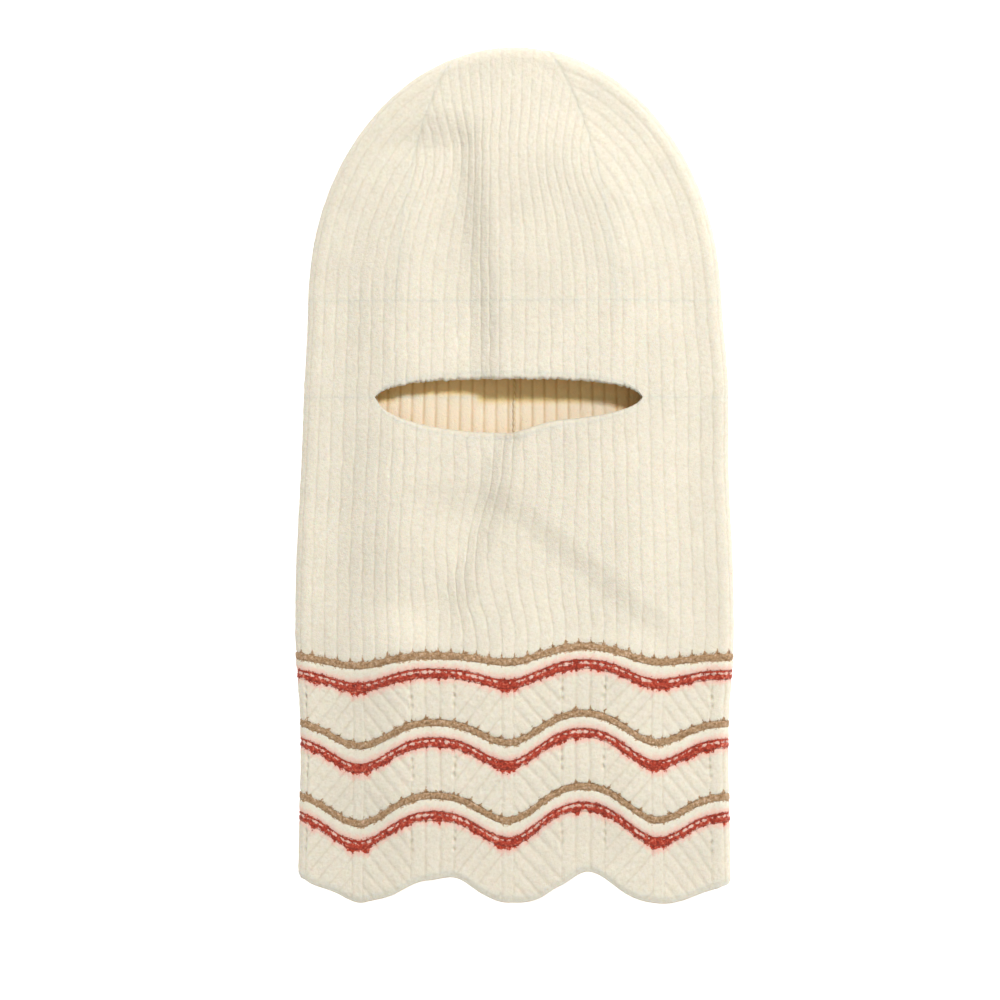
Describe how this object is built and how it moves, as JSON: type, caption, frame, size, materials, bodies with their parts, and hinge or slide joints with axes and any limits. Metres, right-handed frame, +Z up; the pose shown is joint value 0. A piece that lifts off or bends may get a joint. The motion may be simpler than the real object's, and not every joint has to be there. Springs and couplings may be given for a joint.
{
  "type": "balaclava",
  "caption": "Rib-knit wool balaclava lying flat, with an eye slit, a closed crown and a scalloped neck with wavy tan and red stripes.",
  "frame": {"origin": "under the middle of the garment, on the surface it lies on: the centre of its bounding box in X and Y, at the bottom in Z", "axes": "+X across the garment to the right as seen from above the face, +Y along it from the scalloped hem to the crown, +Z up out of the face"},
  "size_m": [0.2164, 0.4204, 0.02],
  "materials": {
    "cream_rib": "brushed wool rib knit, matt, fuzzy",
    "cream_edge": "wool edge stitches, matt, fuzzy",
    "cream_roll": "smooth knit wool, matt, fuzzy",
    "tan_yarn": "wool purl ridge, matt, fuzzy",
    "red_yarn": "wool purl and chain rows, matt, fuzzy",
    "seam_yarn": "linked wool seam, matt"
  },
  "bodies": {
    "root": {"crown_gore_front": "cream_rib", "crown_gore_left": "cream_rib", "crown_gore_right": "cream_rib", "crown_gore_back_left": "cream_rib", "crown_gore_back_right": "cream_rib", "crown_gathered_tip": "cream_rib", "brow_rib": "cream_rib", "face_rib": "cream_rib", "fan_band_1": "cream_rib", "fan_band_2": "cream_rib", "fan_band_3": "cream_rib", "slit_upper_edge": "cream_edge", "slit_lower_edge": "cream_edge", "hem_cast_on_edge": "cream_edge", "tan_ridge_1": "tan_yarn", "tan_ridge_2": "tan_yarn", "tan_ridge_3": "tan_yarn", "cream_roll_1": "cream_roll", "cream_roll_2": "cream_roll", "cream_roll_3": "cream_roll", "red_rows_1": "red_yarn", "red_rows_2": "red_yarn", "red_rows_3": "red_yarn", "centre_back_seam": "seam_yarn"}
  },
  "joints": []
}
